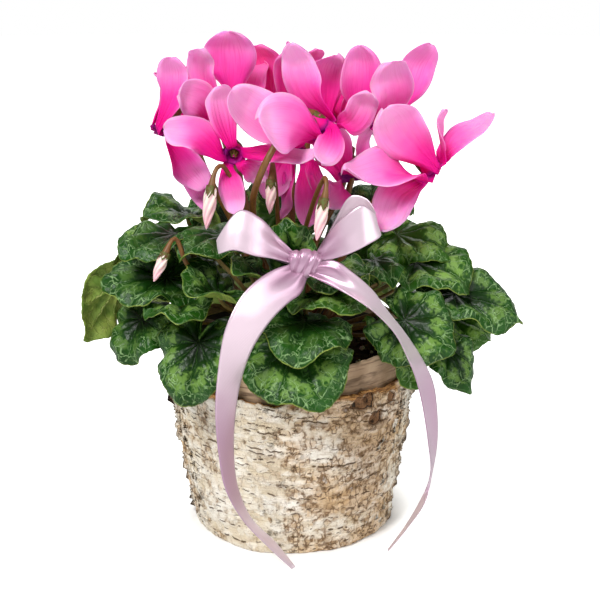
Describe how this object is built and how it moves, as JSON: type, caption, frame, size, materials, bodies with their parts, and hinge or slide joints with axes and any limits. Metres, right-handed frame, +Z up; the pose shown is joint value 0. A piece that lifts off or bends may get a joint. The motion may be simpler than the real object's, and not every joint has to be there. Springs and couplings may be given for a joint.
{
  "type": "potted cyclamen",
  "caption": "Flowering cyclamen in a birch bark planter, with marbled heart-shaped leaves and a satin bow at the front.",
  "frame": {"origin": "centre of the planter's foot, on the surface it stands on", "axes": "+Z up; the bow and the front of the planter face -Y"},
  "size_m": [0.2547, 0.2081, 0.2904],
  "materials": {
    "bark": "matt peeling birch bark",
    "inner_bark": "matt smoother inner bark",
    "liner": "matt black nursery pot",
    "soil": "crumbly potting soil",
    "tuber": "corky brown tuber",
    "leaf": "dark green, silver marbling, soft sheen",
    "stalk": "brown-red succulent stalk",
    "petal": "velvety pink, paler at the edge, purple at the throat",
    "bud": "pale pink twisted bud",
    "ribbon": "lilac satin",
    "pick": "green florist's pick"
  },
  "bodies": {
    "root": {"bark_inner": "inner_bark", "bark_outer": "bark", "bloom_back_high": "petal", "bloom_back_middle": "petal", "bloom_centre_hanging": "petal", "bloom_centre_low": "petal", "bloom_front": "petal", "bloom_left": "petal", "bloom_left_high": "petal", "bloom_left_open": "petal", "bloom_right": "petal", "bloom_right_high": "petal", "bud_knot": "bud", "bud_left": "bud", "bud_low": "bud", "bud_middle": "bud", "leaf_back_low_a": "leaf", "leaf_back_mid_c": "leaf", "leaf_back_top_b": "leaf", "leaf_bow_right": "leaf", "leaf_cup_left": "leaf", "leaf_cup_middle": "leaf", "leaf_front_low": "leaf", "leaf_left_edge": "leaf", "leaf_left_low": "leaf", "leaf_left_mid": "leaf", "leaf_right_far": "leaf", "leaf_right_mid": "leaf", "leaf_right_silver": "leaf", "leaf_under_knot": "leaf", "leaves_back_left": "leaf", "leaves_back_low": "leaf", "leaves_back_right": "leaf", "leaves_bow": "leaf", "leaves_front": "leaf", "leaves_left_back": "leaf", "leaves_left_front": "leaf", "leaves_left_top": "leaf", "leaves_right_big": "leaf", "leaves_right_low": "leaf", "leaves_right_top": "leaf", "pot_liner": "liner", "ribbon_knot": "ribbon", "ribbon_loop_left": "ribbon", "ribbon_loop_right": "ribbon", "ribbon_pick": "pick", "ribbon_tail_left": "ribbon", "ribbon_tail_right": "ribbon", "soil": "soil", "stem_back_high": "stalk", "stem_back_middle": "stalk", "stem_centre_hanging": "stalk", "stem_centre_low": "stalk", "stem_front": "stalk", "stem_left": "stalk", "stem_left_high": "stalk", "stem_left_open": "stalk", "stem_right": "stalk", "stem_right_high": "stalk", "tuber": "tuber"}
  },
  "joints": []
}
